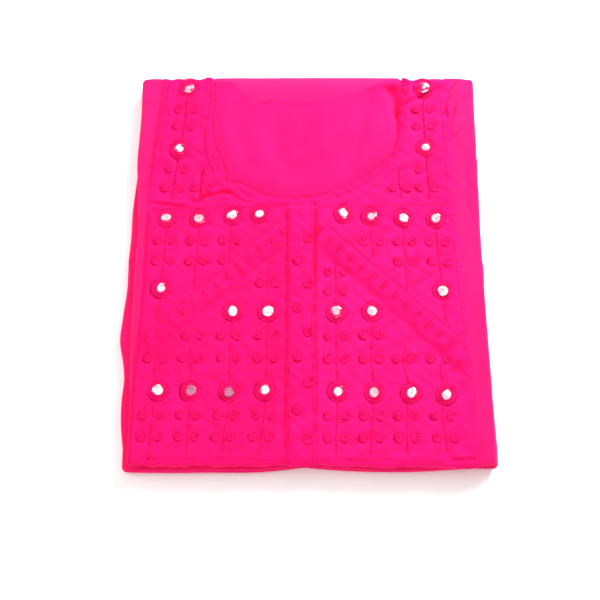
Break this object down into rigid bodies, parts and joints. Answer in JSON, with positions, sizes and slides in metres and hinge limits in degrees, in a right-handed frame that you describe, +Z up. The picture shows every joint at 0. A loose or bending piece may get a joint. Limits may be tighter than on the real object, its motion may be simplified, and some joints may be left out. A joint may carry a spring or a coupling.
{
  "type": "folded kurti",
  "caption": "Cotton kurti folded flat, front upwards, with a tone-on-tone embroidered yoke, slanting bands, a button placket, a bound round neck and small round mirrors.",
  "frame": {"origin": "under the middle of the folded pack, on the surface that it lies on", "axes": "+X to the right of the pack as it lies front upwards, +Y from the bottom fold up to the neck, +Z up"},
  "size_m": [0.3098, 0.3468, 0.0214],
  "materials": {
    "ground_cotton": "plain woven cotton, soft sheen",
    "yoke_cotton": "plain woven cotton with thread embroidery",
    "mirror_glass": "silvered glass"
  },
  "bodies": {
    "root": {"folded_layers": "ground_cotton", "back_body": "ground_cotton", "front_body": "ground_cotton", "strap_left": "yoke_cotton", "yoke_left": "yoke_cotton", "strap_right": "yoke_cotton", "yoke_right": "yoke_cotton", "band_left": "yoke_cotton", "band_right": "yoke_cotton", "placket": "yoke_cotton", "neck_binding": "yoke_cotton", "mirror_strap_left_1": "mirror_glass", "mirror_strap_left_2": "mirror_glass", "mirror_strap_right_1": "mirror_glass", "mirror_strap_right_2": "mirror_glass", "mirror_left_top_1": "mirror_glass", "mirror_left_top_2": "mirror_glass", "mirror_left_top_3": "mirror_glass", "mirror_left_top_4": "mirror_glass", "mirror_right_top_1": "mirror_glass", "mirror_right_top_2": "mirror_glass", "mirror_right_top_3": "mirror_glass", "mirror_right_top_4": "mirror_glass", "mirror_left_side": "mirror_glass", "mirror_right_side": "mirror_glass", "mirror_left_middle_1": "mirror_glass", "mirror_left_middle_2": "mirror_glass", "mirror_right_middle_1": "mirror_glass", "mirror_right_middle_2": "mirror_glass", "mirror_left_bottom_1": "mirror_glass", "mirror_left_bottom_2": "mirror_glass", "mirror_left_bottom_3": "mirror_glass", "mirror_left_bottom_4": "mirror_glass", "mirror_right_bottom_1": "mirror_glass", "mirror_right_bottom_2": "mirror_glass", "mirror_right_bottom_3": "mirror_glass", "mirror_right_bottom_4": "mirror_glass"}
  },
  "joints": []
}
